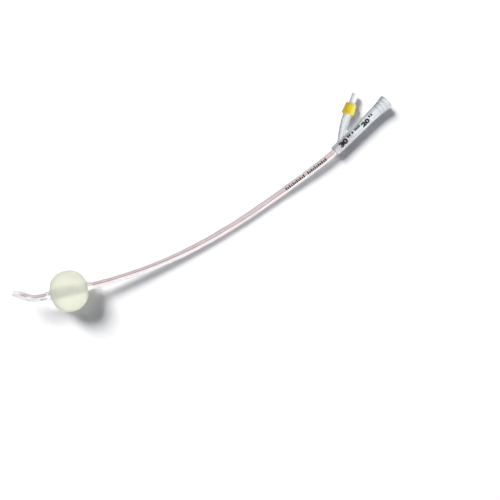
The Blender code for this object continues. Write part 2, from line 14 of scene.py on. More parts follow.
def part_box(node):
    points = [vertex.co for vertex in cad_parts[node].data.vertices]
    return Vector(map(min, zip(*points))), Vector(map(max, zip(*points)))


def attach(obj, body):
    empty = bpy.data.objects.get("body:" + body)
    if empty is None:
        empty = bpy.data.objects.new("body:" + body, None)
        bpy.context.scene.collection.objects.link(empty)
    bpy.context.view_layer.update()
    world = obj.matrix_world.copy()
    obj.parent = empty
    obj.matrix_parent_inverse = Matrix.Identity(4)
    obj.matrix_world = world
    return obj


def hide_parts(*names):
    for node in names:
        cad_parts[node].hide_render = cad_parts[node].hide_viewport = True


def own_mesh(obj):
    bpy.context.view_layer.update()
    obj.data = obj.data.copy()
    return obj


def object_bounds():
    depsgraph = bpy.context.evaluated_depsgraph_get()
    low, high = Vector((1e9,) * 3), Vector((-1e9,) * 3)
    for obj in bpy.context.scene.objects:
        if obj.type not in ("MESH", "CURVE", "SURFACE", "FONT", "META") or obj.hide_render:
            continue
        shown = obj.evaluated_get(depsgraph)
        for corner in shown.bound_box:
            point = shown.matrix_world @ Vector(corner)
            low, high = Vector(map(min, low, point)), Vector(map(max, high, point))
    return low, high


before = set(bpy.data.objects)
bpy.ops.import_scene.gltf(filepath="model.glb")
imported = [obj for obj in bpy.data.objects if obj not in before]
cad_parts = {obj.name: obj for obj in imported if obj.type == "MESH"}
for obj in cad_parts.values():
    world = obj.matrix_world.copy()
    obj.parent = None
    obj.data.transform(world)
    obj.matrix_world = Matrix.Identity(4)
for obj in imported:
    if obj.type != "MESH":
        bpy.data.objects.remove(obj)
cad_low, cad_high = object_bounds()

MM = 0.001
MERGE = 0.000002
CATHETER = "catheter"
PLUNGER = "plunger"
SEAT_GAP = 0.3 * MM
CUT_PAST = 10.0 * MM

# The connector's ends and axis, from the frame
connector_low, connector_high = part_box("y_connector")
MOUTH_R = (connector_high.z - connector_low.z) / 2
MOUTH_AT = Vector((connector_high.x, connector_low.y + MOUTH_R, MOUTH_R))
BODY_LENGTH = connector_high.x - connector_low.x
EXIT_AT = MOUTH_AT - Vector((BODY_LENGTH, 0, 0))

# Tube
TUBE_R = 3.335 * MM
SOCKET_R = TUBE_R + SEAT_GAP
DRAIN_LUMEN_R = 2.0 * MM
FILL_LUMEN_R = 0.4 * MM
FILL_LUMEN_OFFSET = 2.5 * MM
DRAIN_LUMEN_OFFSET = -0.35 * MM
SKIVE_R = 0.5 * MM
SKIVE_FROM_TUBE_START = 12.0 * MM
TIP_CUT_ANGLE = math.radians(23.5)
TIP_CUT_TILT = math.radians(30.0)
TIP_BLUNT = 2.5 * MM
TIP_BLOCK = 40.0 * MM
TUBE_LENGTH = 352.0 * MM

# Each eye: from the tip's end, turn from the arm's side to the top, length, how dark its painted shade
# outline is
EYE_WIDTH = 3.0 * MM
EYES = (
    (15.5 * MM, math.radians(98.0), 4.4 * MM, 0.3),
    (28.0 * MM, math.radians(130.0), 5.8 * MM, 0.8),
)
# Where the painted light round an eye fades, and the middle and fading of its painted shade outline. 1 is
# the eye's rim.
EYE_PAINTED_LIGHT = (1.35, 1.75)
EYE_PAINTED_OUTLINE = (1.08, 0.08, 0.2)

# Shares of a turn from the tube's underside by way of the arm's side. The red line moves from its first to
# its second place over a stretch of the length. A half is where a line starts to fade and where it ends.
TUBE_MAP = "around_and_along"
LINE_DRIFT = (0.30, 0.70)
LINE_AT = (0.537, 0.470)
LINE_HALF = (0.012, 0.026)
BLUSH_START = (0.34, 0.37)
BLUSH_END = (-0.01, 0.02)
# A painted dark edge line near the tube's outline on the arm's side
PAINTED_EDGE_AT = 0.36
PAINTED_EDGE_HALF = (0.008, 0.022)
# Painted shade on the tube inside the balloon: how it darkens away from the arm's side, its darker edge on
# the arm's side, and where the red line, drawn darker there, lies
BALLOON_SHADE_SIDE = (0.42, 0.72)
BALLOON_SHADE_EDGE = (0.28, 0.40)
BALLOON_LINE_AT = 0.54
BALLOON_LINE_HALF = (0.012, 0.028)

# Balloon
BALLOON_R = 18.9 * MM
BALLOON_LENGTH = 34.2 * MM
BALLOON_WALL = 0.4 * MM
BALLOON_SQUARENESS = 2.25
BALLOON_CUFF = 4.0 * MM
BALLOON_SHOULDER = 0.8 * MM
BALLOON_FROM_END = 51.2 * MM

# Connector
BODY_R = SOCKET_R + 1.45 * MM
TUBE_END_R = SOCKET_R + 1.2 * MM
NECK_LENGTH = 7.0 * MM
BANDS = ((0.0, 4.2 * MM), (0.5 * MM, 8.1 * MM), (1.05 * MM, 11.7 * MM))
BAND_TAPER = 0.25 * MM
MOUTH_BORE_R = 5.3 * MM
FLARE_DEPTH = 16.0 * MM
THROAT_R = 3.4 * MM
TUBE_STOP_LEDGE = 1.1 * MM
TUBE_STOP_DEPTH = 44.1 * MM
EDGE = 0.35 * MM
BORE_EDGE = 0.2 * MM

# The painted shade lines round the connector, at the edges of its steps and ends: how far back from the
# mouth, and how wide
PAINTED_RING_LINES = (
    *((back, 0.5 * MM) for _, back in BANDS),
    (0.3 * MM, 0.8 * MM),
    (BODY_LENGTH - 0.2 * MM, 0.6 * MM),
)

# Filling arm
ARM_ROOT_AT = EXIT_AT + Vector((9.5, 2.2, 0)) * MM
ARM_ROOT_ANGLE = math.radians(38.0)
ARM_END_ANGLE = math.radians(25.6)
ARM_BEND_LENGTH = 27.2 * MM
ARM_STRAIGHT = 7.2 * MM
ARM_ROOT_R = 3.0 * MM
ARM_END_R = 4.2 * MM
ARM_BORE_ROOT_R = 1.0 * MM
WEB_THICKNESS = 2.4 * MM
WEB_REACH = 15.0 * MM

# What a vertex stores of its side, for the painted shade of the connector and the painted light and shade of
# the valve. The arm has at least ARM_PAINTED_SHADE of painted shade, and its far side has a share of the
# near side's.
ARM_SIDE = "arm_side"
ARM_SIDE_TURN = math.radians(15.0)
ARM_PAINTED_SHADE = 0.35
ARM_FAR_SHARE = 0.68

# Valve: heights run out along the arm from the collar's base
COLLAR_BORE_R = ARM_END_R + SEAT_GAP
COLLAR_BASE_R = COLLAR_BORE_R + 1.45 * MM
COLLAR_TOP_R = COLLAR_BORE_R + 0.8 * MM
COLLAR_ROUND = 1.5 * MM
FLANGE_R = ARM_END_R
FLANGE_THICKNESS = 0.8 * MM
PORT_R = 2.9 * MM
LUER_MOUTH_R = 2.15 * MM
LUER_DEPTH = 8.0 * MM
LUER_TAPER = 0.06
CHAMBER_DEPTH = 3.7 * MM
CHAMBER_BORE_R = 1.75 * MM
CHAMBER_ROOT_R = 2.35 * MM
CHAMBER_BARB_R = 2.65 * MM
CHAMBER_OUTLET_R = 0.7 * MM
CHAMBER_BARBS = 3
BARB_SHARE = 0.8
HEAD_R = CHAMBER_BORE_R - SEAT_GAP
HEAD_THICKNESS = 0.5 * MM
STEM_R = 0.55 * MM
PASSAGE_R = 0.95 * MM
SPRING_WIRE_R = 0.2 * MM
SPRING_COIL_R = HEAD_R - SPRING_WIRE_R
SPRING_TURNS = 7
SPRING_END_PITCH = 0.5 * MM
GUIDE_R = SPRING_COIL_R - SPRING_WIRE_R - SEAT_GAP
GUIDE_LENGTH = 1.5 * MM

CHAMBER_INSIDE_LOW = -2.4 * MM
CHAMBER_FLANGE_LOW = ARM_STRAIGHT + SEAT_GAP
CHAMBER_TOP = CHAMBER_FLANGE_LOW + FLANGE_THICKNESS
PORT_FLANGE_LOW = CHAMBER_TOP + SEAT_GAP
PORT_FLANGE_TOP = PORT_FLANGE_LOW + FLANGE_THICKNESS
COLLAR_INSIDE_TOP = PORT_FLANGE_TOP + SEAT_GAP
COLLAR_TOP = COLLAR_INSIDE_TOP + 0.9 * MM
LUER_BOTTOM = PORT_FLANGE_LOW + 3.8 * MM
PORT_END = LUER_BOTTOM + LUER_DEPTH
PLUNGER_TOP = LUER_BOTTOM + 1.9 * MM
SEAL_TOP = PORT_FLANGE_LOW - SEAT_GAP
SEAL_LOW = SEAL_TOP - 0.8 * MM
HEAD_TOP = SEAL_LOW - SEAT_GAP
HEAD_LOW = HEAD_TOP - HEAD_THICKNESS

# The free tube's centre: mm along and across the funnel's axis from the exit, and how far up it is.
# From the exit, 1 is the height of the funnel's axis and 0 is a tube that lies on the floor.
ROUTE_FROM_EXIT = (
    (-6.3, 0.2, 0.97), (-13.3, 0.9, 0.89), (-28.3, 2.6, 0.635),
    (-43.3, 4.6, 0.355), (-58.3, 6.7, 0.13), (-73.3, 9.0, 0.018),
)
# To the tip, 0 is a tube that lies on the floor and 1 is the height of the balloon's middle
ROUTE_TO_TIP = (
    (-88.3, 11.5, 0.001), (-103.3, 14.2, 0.001), (-118.3, 17.3, 0.004),
    (-133.3, 20.8, 0.014), (-148.3, 24.8, 0.036), (-163.3, 29.3, 0.078),
    (-178.3, 34.4, 0.146), (-193.3, 40.2, 0.235), (-208.3, 46.7, 0.354),
    (-223.3, 54.0, 0.499), (-235.3, 60.3, 0.637), (-246.3, 66.7, 0.772),
    (-263.6, 77.1, 1.003), (-279.9, 86.9, 1.222), (-283.8, 89.3, 1.273),
    (-287.9, 91.9, 1.331), (-291.1, 95.0, 1.385), (-293.5, 98.7, 1.437),
    (-295.4, 102.6, 1.482), (-297.2, 106.6, 1.533), (-299.0, 110.3, 1.585),
)

# Print, in mm: a number or how many bars with their pitch, then the width and height of each, and the place
# along from the exit and round from the top towards the arm
PRINT_DEPTH = 0.05 * MM
PRINT_LIFT = 0.01 * MM
PRINT_CELL = 0.35 * MM
PRINT_BOLDNESS = 0.07
CONNECTOR_NUMBERS = (("30", 9.0, 5.3, 6.6, -2.65), ("20", 9.0, 4.5, 33.8, -2.9))
CONNECTOR_BARS = (
    (2, 2.1, 1.5, (2.4,), 17.0, 0.1),
    (1, 1.0, 1.9, (1.8,), 22.3, 0.1),
    (4, 1.75, 1.3, (2.4,), 26.2, 0.1),
    (2, 2.4, 1.7, (2.1,), 43.8, -0.1),
)
TUBE_BARS = (
    (11, 2.0, 1.3, (2.9, 2.1), 10.6, -1.5),
    (11, 2.0, 1.3, (2.9, 2.1), 35.4, -1.5),
)

# The noise's scale, and the strength and the height of the bumps
CLEAR_GRAIN = (120.0, 0.05, 0.02 * MM)
OPAQUE_GRAIN = (400.0, 0.15, 0.05 * MM)
STEEL_GRAIN = (900.0, 0.1, 0.02 * MM)

# Camera: straight above the picture's middle, which is given from the funnel's mouth
CAMERA_FROM_MOUTH = Vector((-185.82, -10.84, 0)) * MM
CAMERA_HEIGHT = 900.0 * MM
CAMERA_LENS = 69.7
CAMERA_ROLL = math.radians(-44.1)

# Light: the floor's sun stands over the arm's side and casts the shadow. The catheter's own key and fill
# light reach past the floor. Each lamp has a side of the funnel, an elevation, a spread and a strength.
# What shines mirrors a white sky, apart from a grey screen on the arm's side that draws its edges.
FLOOR_SUN = (1, math.radians(45.0), math.radians(24.0), 3.8)
KEY_LIGHT = (-1, math.radians(50.0), math.radians(90.0), 2.1)
FILL_LIGHT = (1, math.radians(30.0), math.radians(90.0), 0.7)
SKY_STRENGTH = 0.19
SKY_COLOUR = (0.93, 0.95, 1.08)
SCREEN_EDGE = (0.1, 0.6)
SCREEN_STRENGTH = 0.25
FLOOR_GLOW = 0.7
FLOOR_SIZE = 6.0
WHITE = (1.0, 1.0, 1.0)

# The share of a lamp's light that each face of the tube lets on to what is behind it
TUBE_LETS_THROUGH = 0.6

# What the connector takes from the light: in each metre of its plastic, and of what the floor gets by it
WALL_HAZE = 65.0
BOUNCE_DIM = 0.5

# The least turn of a corner that is rounded, and the most of a side that a rounding takes
LEAST_TURN = math.radians(8.0)
MOST_REACH = 0.45

# Facets and stations
ROUND_STEPS = 96
TUBE_STEPS = 64
TUBE_STATION = 1.2 * MM
BALLOON_STEPS = 128
BALLOON_STATIONS = 72


def make_camera():
    lens = bpy.data.cameras.new("camera")
    lens.lens = CAMERA_LENS
    camera = add_object("camera", lens)
    camera.location = Vector((MOUTH_AT.x, MOUTH_AT.y, CAMERA_HEIGHT)) + CAMERA_FROM_MOUTH
    camera.rotation_euler = (0, 0, CAMERA_ROLL)
    bpy.context.scene.camera = camera


# Shapes


def add_object(name, data):
    obj = bpy.data.objects.new(name, data)
    bpy.context.scene.collection.objects.link(obj)
    return obj


def give_materials(obj, *mats):
    obj.data.materials.clear()
    for mat in mats:
        obj.data.materials.append(mat)


def shown_mesh(obj):
    """The mesh that the object shows, in the frame's coordinates."""
    bpy.context.view_layer.update()
    graph = bpy.context.evaluated_depsgraph_get()
    shown = obj.evaluated_get(graph)
    mesh = bpy.data.meshes.new_from_object(shown, preserve_all_data_layers=True, depsgraph=graph)
    mesh.transform(obj.matrix_world)
    return mesh


def mesh_of_curve(name, curve, place=Matrix.Identity(4)):
    obj = add_object(name, curve)
    obj.matrix_world = place
    mesh = shown_mesh(obj)
    bpy.data.objects.remove(obj)
    return mesh


def applied(obj):
    """Gives the object the mesh that its modifiers make."""
    obj.data = shown_mesh(obj)
    obj.data.name = obj.name
    obj.modifiers.clear()
    obj.matrix_world = Matrix.Identity(4)
    return obj


def mesh_from(work, name):
    mesh = bpy.data.meshes.new(name)
    work.to_mesh(mesh)
    work.free()
    return mesh


def made_shape(name, make, **options):
    """An object of one of the plain shapes that bmesh makes."""
    work = bmesh.new()
    make(work, **options)
    return add_object(name, mesh_from(work, name))


def facing_out(mesh):
    """Welds points that lie together, and turns the faces outwards."""
    work = bmesh.new()
    work.from_mesh(mesh)
    bmesh.ops.remove_doubles(work, verts=work.verts, dist=MERGE)
    bmesh.ops.recalc_face_normals(work, faces=work.faces)
    work.to_mesh(mesh)
    work.free()
    return mesh


def smooth(obj, angle=35.0):
    obj.data.shade_smooth()
    obj.data.set_sharp_from_angle(angle=math.radians(angle))
    return obj


def rounded(profile, radius, steps=3, closed=True):
    """The same outline with its corners rounded to the radius, or to less where a side is short."""
    result = []
    count = len(profile)
    for i, corner in enumerate(profile):
        here = Vector(corner)
        before, after = Vector(profile[i - 1]) - here, Vector(profile[(i + 1) % count]) - here
        turn = math.pi - before.angle(after)
        if turn < LEAST_TURN or (not closed and i in (0, count - 1)):
            result.append(tuple(here))
            continue
        reach = min(radius * math.tan(turn / 2), MOST_REACH * before.length, MOST_REACH * after.length)
        start, end = here + before.normalized() * reach, here + after.normalized() * reach
        for k in range(steps + 1):
            t = k / steps
            result.append(tuple(start * (1 - t) ** 2 + here * 2 * t * (1 - t) + end * t**2))
    return result


def turned(name, profile, place, closed=False, steps=ROUND_STEPS):
    """Sweeps a profile of (radius, height) points round the place's Z axis."""
    mesh = bpy.data.meshes.new(name)
    edges = [(i, i + 1) for i in range(len(profile) - 1)]
    if closed:
        edges.append((len(profile) - 1, 0))
    mesh.from_pydata([(r, 0.0, h) for r, h in profile], edges, [])
    obj = add_object(name, mesh)
    obj.matrix_world = place
    screw = obj.modifiers.new("turn", "SCREW")
    screw.axis = "Z"
    screw.angle = 2 * math.pi
    screw.steps = steps
    screw.use_merge_vertices = True
    screw.merge_threshold = MERGE
    return applied(obj)


def swept(name, points, radii, steps=48):
    """A closed round bar through the points, with one radius for each."""
    curve, knots = curve_through(name, "3D", points)
    curve.bevel_depth = max(radii)
    curve.bevel_resolution = steps // 4 - 1
    curve.use_fill_caps = True
    for knot, radius in zip(knots, radii):
        knot.radius = radius / max(radii)
    return add_object(name, facing_out(mesh_of_curve(name, curve)))


def curve_through(name, dimensions, points):
    """A curve of straight pieces through the points, and its knots."""
    curve = bpy.data.curves.new(name, "CURVE")
    curve.dimensions = dimensions
    spline = curve.splines.new("POLY")
    spline.points.add(len(points) - 1)
    for knot, point in zip(spline.points, points):
        knot.co = (*point, 1.0)
    return curve, spline.points


def combined(obj, operation, *others):
    """Cuts or joins the others into the object, and removes them."""
    for other in others:
        step = obj.modifiers.new(other.name, "BOOLEAN")
        step.operation = operation
        step.solver = "EXACT"
        step.object = other
    applied(obj)
    for other in others:
        bpy.data.objects.remove(other)
    return obj


# The tube's path


def spline_through(points, step):
    """Points every step along a natural cubic spline through the given points."""
    knots = np.array(points)
    chord = np.linalg.norm(np.diff(knots, axis=0), axis=1)
    at = np.cumsum([0.0, *chord])
    count = len(knots)
    slopes = np.diff(knots, axis=0) / chord[:, None]
    right = np.zeros((count, 3))
    right[1:-1] = 6 * np.diff(slopes, axis=0)
    matrix = np.eye(count)
    for i in range(1, count - 1):
        before, after = chord[i - 1], chord[i]
        matrix[i, i - 1 : i + 2] = before, 2 * (before + after), after
    bend = np.linalg.solve(matrix, right)
    result = []
    for s in np.linspace(0.0, at[-1], max(2, round(at[-1] / step) + 1)):
        i = min(int(np.searchsorted(at, s, side="right")) - 1, count - 2)
        h, a, b = chord[i], at[i + 1] - s, s - at[i]
        curved = (bend[i] * a**3 + bend[i + 1] * b**3) / (6 * h)
        straight = (knots[i] / h - bend[i] * h / 6) * a + (knots[i + 1] / h - bend[i + 1] * h / 6) * b
        result.append(Vector(curved + straight))
    return result


class TubePath:
    """The tube's centre line, with a frame at any length along it from the end in the connector."""

    def __init__(self, points):
        self.points = spline_through(points, 1.0 * MM)
        steps = [(b - a).length for a, b in zip(self.points, self.points[1:])]
        self.at = np.cumsum([0.0, *steps])
        self.length = float(self.at[-1])

    def point(self, s):
        i = min(max(int(np.searchsorted(self.at, s, side="right")) - 1, 0), len(self.points) - 2)
        share = (s - self.at[i]) / (self.at[i + 1] - self.at[i])
        return self.points[i].lerp(self.points[i + 1], share)

    def frame(self, s):
        """The centre, the direction towards the tip, the side that the arm is on, and the top."""
        low, high = max(s - 1.0 * MM, 0.0), min(s + 1.0 * MM, self.length)
        along = (self.point(high) - self.point(low)).normalized()
        side = along.cross(Vector((0, 0, 1))).normalized()
        return self.point(s), along, side, side.cross(along)

    def offset(self, start, end, sideways):
        """Points from start to end, moved sideways from the centre line."""
        points = []
        for s in np.linspace(start, end, round((end - start) / TUBE_STATION) + 1):
            centre, _, side, _ = self.frame(s)
            points.append(centre + side * sideways)
        return points


def tube_path():
    start = MOUTH_AT - Vector((TUBE_STOP_DEPTH + SEAT_GAP, 0, 0))
    free = []
    for route, full_height in ((ROUTE_FROM_EXIT, MOUTH_R), (ROUTE_TO_TIP, BALLOON_R)):
        for along, across, rise in route:
            height = TUBE_R + rise * (full_height - TUBE_R)
            free.append(Vector((EXIT_AT.x + along * MM, EXIT_AT.y + across * MM, height)))
    return TubePath([start, start.lerp(EXIT_AT, 0.5), EXIT_AT, *free])


def tube_skin(path):
    """The tube's outside as a closed bar. Its UV map holds the share of a turn from the underside,
    by way of the arm's side, and the share of the length from the connector."""
    stations = np.linspace(0, path.length, round(path.length / TUBE_STATION) + 1)
    points = []
    for s in stations:
        centre, _, side, top = path.frame(s)
        for k in range(TUBE_STEPS):
            angle = 2 * math.pi * k / TUBE_STEPS - math.pi / 2
            points.append(centre + (side * math.cos(angle) + top * math.sin(angle)) * TUBE_R)
    faces, places = [], []
    steps = len(stations) - 1
    for i in range(steps):
        for k in range(TUBE_STEPS):
            corners = ((k, i), (k, i + 1), (k + 1, i + 1), (k + 1, i))
            faces.append([along * TUBE_STEPS + turn % TUBE_STEPS for turn, along in corners])
            places += [(turn / TUBE_STEPS, along / steps) for turn, along in corners]
    last = steps * TUBE_STEPS
    faces += [list(range(TUBE_STEPS)), list(reversed(range(last, last + TUBE_STEPS)))]
    places += [(0.0, 0.0)] * TUBE_STEPS + [(0.0, 1.0)] * TUBE_STEPS
    mesh = bpy.data.meshes.new("tube")
    mesh.from_pydata(points, [], faces)
    layer = mesh.uv_layers.new(name=TUBE_MAP)
    for loop, place in zip(layer.data, places):
        loop.uv = place
    return add_object("tube", facing_out(mesh))


def extended(points, reach):
    """The points with one more at each end, straight on."""
    first = points[0] + (points[0] - points[1]).normalized() * reach
    last = points[-1] + (points[-1] - points[-2]).normalized() * reach
    return [first, *points, last]


def eye_punch(path, s, turn, length):
    """An oval punch from the tube's centre out through one wall."""
    centre, along, side, top = path.frame(s)
    out = side * math.cos(turn) + top * math.sin(turn)
    across = out.cross(along)
    reach = 2 * TUBE_R
    axes = Matrix((along * length / 2, across * EYE_WIDTH / 2, out * reach)).transposed()
    place = Matrix.Translation(centre + out * reach / 2) @ axes.to_4x4()
    round_bar = {"segments": 48, "radius1": 1, "radius2": 1, "depth": 1, "cap_ends": True}
    return made_shape("eye", bmesh.ops.create_cone, **round_bar, matrix=place)


def tip_block(path):
    """What the oblique cut takes off the tip."""
    end, along, side, top = path.frame(path.length)
    towards = side * math.cos(TIP_CUT_TILT) + top * math.sin(TIP_CUT_TILT)
    normal = along * math.sin(TIP_CUT_ANGLE) + towards * math.cos(TIP_CUT_ANGLE)
    foot = end - towards * (TUBE_R - TIP_BLUNT)
    turn = normal.to_track_quat("Z", "X").to_matrix().to_4x4()
    place = Matrix.Translation(foot + normal * TIP_BLOCK / 2) @ turn @ Matrix.Scale(TIP_BLOCK, 4)
    return made_shape("tip_block", bmesh.ops.create_cube, size=1, matrix=place)


def make_tube(path, mat, eye_wall_mat):
    """The tube, whose second material, darker as painted shade, is on the walls of the eyes."""
    tube = tube_skin(path)
    drain = extended(path.offset(0.0, path.length, DRAIN_LUMEN_OFFSET), TUBE_R)
    balloon_at = path.length - BALLOON_FROM_END
    fill = path.offset(SKIVE_FROM_TUBE_START - SKIVE_R, balloon_at + SKIVE_R, FILL_LUMEN_OFFSET)
    cutters = [
        swept("drain_lumen", drain, [DRAIN_LUMEN_R] * len(drain), steps=32),
        swept("fill_lumen", fill, [FILL_LUMEN_R] * len(fill), steps=12),
    ]
    for name, s in (("fill_inlet", SKIVE_FROM_TUBE_START), ("fill_outlet", balloon_at)):
        centre, _, side, _ = path.frame(s)
        points = [centre + side * FILL_LUMEN_OFFSET, centre + side * TUBE_R * 2]
        cutters.append(swept(name, points, [SKIVE_R] * 2, steps=24))
    eyes = [eye_punch(path, path.length - from_end, turn, length) for from_end, turn, length, _ in EYES]
    combined(tube, "DIFFERENCE", *cutters, tip_block(path), *eyes)
    give_materials(tube, mat, eye_wall_mat)
    for from_end, _, length, _ in EYES:
        centre, along, _, _ = path.frame(path.length - from_end)
        for face in tube.data.polygons:
            off = face.center - centre
            lengthwise = off.dot(along)
            from_axis = (off - along * lengthwise).length
            if abs(lengthwise) < length * 0.6 and DRAIN_LUMEN_R * 1.1 < from_axis < TUBE_R * 0.99:
                face.material_index = 1
    return smooth(tube, 40)


def balloon_profile():
    """The balloon's inner surface from one cuff's end to the other."""
    inner_r = BALLOON_R - BALLOON_WALL
    half = BALLOON_LENGTH / 2 - BALLOON_WALL
    power = 2 / BALLOON_SQUARENESS
    profile = []
    for i in range(BALLOON_STATIONS + 1):
        angle = math.pi * i / BALLOON_STATIONS
        radius = inner_r * math.sin(angle) ** power
        height = half * math.copysign(abs(math.cos(angle)) ** power, math.cos(angle))
        if radius > SOCKET_R + BALLOON_SHOULDER:
            profile.append((radius, height))
    cuff = [(SOCKET_R, half + BALLOON_CUFF), (SOCKET_R, half + BALLOON_SHOULDER)]
    return [*cuff, *profile, *((radius, -height) for radius, height in reversed(cuff))]


def make_balloon(path, outer, inner, cuff):
    centre, along, _, _ = path.frame(path.length - BALLOON_FROM_END)
    place = Matrix.Translation(centre) @ along.to_track_quat("Z", "X").to_matrix().to_4x4()
    balloon = turned("balloon", balloon_profile(), place, steps=BALLOON_STEPS)
    give_materials(balloon, outer, inner, cuff)
    shell = balloon.modifiers.new("wall", "SOLIDIFY")
    shell.thickness = BALLOON_WALL
    shell.offset = 1.0
    shell.use_even_offset = True
    shell.material_offset = 1
    shell.material_offset_rim = 0
    applied(balloon)
    for face in balloon.data.polygons:
        if abs((face.center - centre).dot(along)) > BALLOON_LENGTH / 2:
            face.material_index = 2
    return smooth(balloon, 40)


# The connector


def body_profile():
    """The connector's outside with the mouth at height 0."""
    profile = [(0.0, 0.0)]
    start = 0.0
    for step_in, back in BANDS:
        radius = MOUTH_R - step_in
        profile += [(radius, -start), (radius - BAND_TAPER, -back)]
        start = back
    profile += [(BODY_R + EDGE, -start), (BODY_R, -start - NECK_LENGTH)]
    return [*profile, (TUBE_END_R, -BODY_LENGTH), (0.0, -BODY_LENGTH)]


def bore_profile():
    """The bore's outline, from before the mouth to past the tube's socket."""
    return [
        (0.0, CUT_PAST),
        (MOUTH_BORE_R + EDGE, CUT_PAST),
        (MOUTH_BORE_R + EDGE, EDGE),
        (MOUTH_BORE_R - EDGE, -EDGE),
        ((MOUTH_BORE_R + THROAT_R) / 2, -FLARE_DEPTH / 2),
        (THROAT_R, -FLARE_DEPTH),
        (SOCKET_R - TUBE_STOP_LEDGE, -TUBE_STOP_DEPTH),
        (SOCKET_R, -TUBE_STOP_DEPTH),
        (SOCKET_R, -BODY_LENGTH - CUT_PAST),
        (0.0, -BODY_LENGTH - CUT_PAST),
    ]


def arm_direction():
    return Vector((math.cos(ARM_END_ANGLE), math.sin(ARM_END_ANGLE), 0))


def arm_stations(steps=36):
    """Lengths along the arm from its root to its open end, and its centre at each."""
    step = ARM_BEND_LENGTH / steps
    centres = [ARM_ROOT_AT]
    for i in range(steps):
        heading = ARM_ROOT_ANGLE + (ARM_END_ANGLE - ARM_ROOT_ANGLE) * (i + 0.5) / steps
        centres.append(centres[-1] + Vector((math.cos(heading), math.sin(heading), 0)) * step)
    centres.append(centres[-1] + arm_direction() * ARM_STRAIGHT)
    return [*(i * step for i in range(steps + 1)), ARM_BEND_LENGTH + ARM_STRAIGHT], centres


def widening(lengths, start_r, end_r, full_at):
    """A radius for each length, from the first at the root to the second at full_at and after it."""
    return [start_r + (end_r - start_r) * min(1.0, s / full_at) for s in lengths]


def web_block():
    """The web in the fork, with a hollow round outer edge."""
    base_y = MOUTH_AT.y + BODY_R - EDGE
    end_x = ARM_ROOT_AT.x + WEB_REACH
    top = min(arm_stations()[1], key=lambda p: abs(p.x - end_x))
    height = top.y - ARM_ROOT_R - base_y
    low_y = base_y - EDGE
    outline = [(ARM_ROOT_AT.x, ARM_ROOT_AT.y), (ARM_ROOT_AT.x + WEB_REACH / 2, low_y), (end_x, low_y)]
    steps = 24
    for i in range(steps + 1):
        angle = math.pi * i / steps
        outline.append((end_x - math.sin(angle) * height / 2, base_y + height * (1 - math.cos(angle)) / 2))
    outline.append((top.x, top.y))
    curve, _ = curve_through("web", "2D", [(x, y, 0.0) for x, y in outline])
    curve.fill_mode = "BOTH"
    curve.extrude = WEB_THICKNESS / 2
    curve.splines[0].use_cyclic_u = True
    place = Matrix.Translation((0, 0, MOUTH_AT.z))
    return add_object("web", facing_out(mesh_of_curve("web", curve, place)))


def make_connector(mat):
    lay_down = Matrix.Translation(MOUTH_AT) @ Matrix.Rotation(math.pi / 2, 4, "Y")
    body = turned("connector", rounded(body_profile(), EDGE, closed=False), lay_down)
    lengths, centres = arm_stations()
    arm = swept("arm", centres, widening(lengths, ARM_ROOT_R, ARM_END_R, ARM_BEND_LENGTH), steps=64)
    combined(body, "UNION", arm, web_block())
    bore = turned("drainage_bore", rounded(bore_profile(), BORE_EDGE, closed=False), lay_down)
    seat_from = ARM_BEND_LENGTH - CHAMBER_DEPTH - SEAT_GAP
    arm_bore_r = CHAMBER_BARB_R + SEAT_GAP
    radii = widening(lengths, ARM_BORE_ROOT_R, arm_bore_r, seat_from)
    past_end = centres[-1] + arm_direction() * CUT_PAST
    arm_bore = swept("arm_bore", [*centres, past_end], [*radii, arm_bore_r])
    combined(body, "DIFFERENCE", bore, arm_bore)
    give_materials(body, mat)
    mark_arm_side(body.data)
    return smooth(body)


def mark_arm_side(mesh):
    """Stores on each vertex how far the outside faces the arm's side there, and -1 in the bores, to mask
    painted shade.
    """
    towards = Vector((-math.sin(ARM_SIDE_TURN), math.cos(ARM_SIDE_TURN), 0))
    centres = arm_stations()[1]
    stored = mesh.attributes.new(ARM_SIDE, "FLOAT", "POINT")
    for vertex, value in zip(mesh.vertices, stored.data):
        centre = Vector((vertex.co.x, MOUTH_AT.y, MOUTH_AT.z))
        arm_centre = min(centres, key=lambda p: (p - vertex.co).length)
        on_arm = (vertex.co - arm_centre).length < ARM_END_R + EDGE
        if on_arm and (vertex.co - centre).length > BODY_R + EDGE:
            centre = arm_centre
        faces = vertex.normal.dot(towards)
        if vertex.normal.dot(vertex.co - centre) < 0:
            value.value = -1.0
        elif centre is arm_centre:
            value.value = max(ARM_PAINTED_SHADE, faces, -ARM_FAR_SHARE * faces)
        else:
            value.value = max(0.0, faces)


# The valve


def valve_place():
    """The collar's base, with Z out along the arm."""
    turn = Matrix.Rotation(ARM_END_ANGLE, 4, "Z") @ Matrix.Rotation(math.pi / 2, 4, "Y")
    return Matrix.Translation(arm_stations()[1][-2]) @ turn


def collar_profile():
    hole = PORT_R + SEAT_GAP
    profile = [(hole, COLLAR_TOP)]
    steps = 8
    for i in range(steps + 1):
        angle = math.pi / 2 * (1 - i / steps)
        across = COLLAR_TOP_R - COLLAR_ROUND * (1 - math.cos(angle))
        profile.append((across, COLLAR_TOP - COLLAR_ROUND * (1 - math.sin(angle))))
    profile += [
        (COLLAR_BASE_R, 0.0),
        (COLLAR_BORE_R, 0.0),
        (COLLAR_BORE_R, COLLAR_INSIDE_TOP),
        (hole, COLLAR_INSIDE_TOP),
    ]
    return profile


def port_profile():
    return [
        (PORT_R, PORT_END),
        (PORT_R, PORT_FLANGE_TOP),
        (FLANGE_R, PORT_FLANGE_TOP),
        (FLANGE_R, PORT_FLANGE_LOW),
        (PASSAGE_R, PORT_FLANGE_LOW),
        (PASSAGE_R, LUER_BOTTOM),
        (LUER_MOUTH_R - LUER_DEPTH * LUER_TAPER / 2, LUER_BOTTOM),
        (LUER_MOUTH_R, PORT_END),
    ]


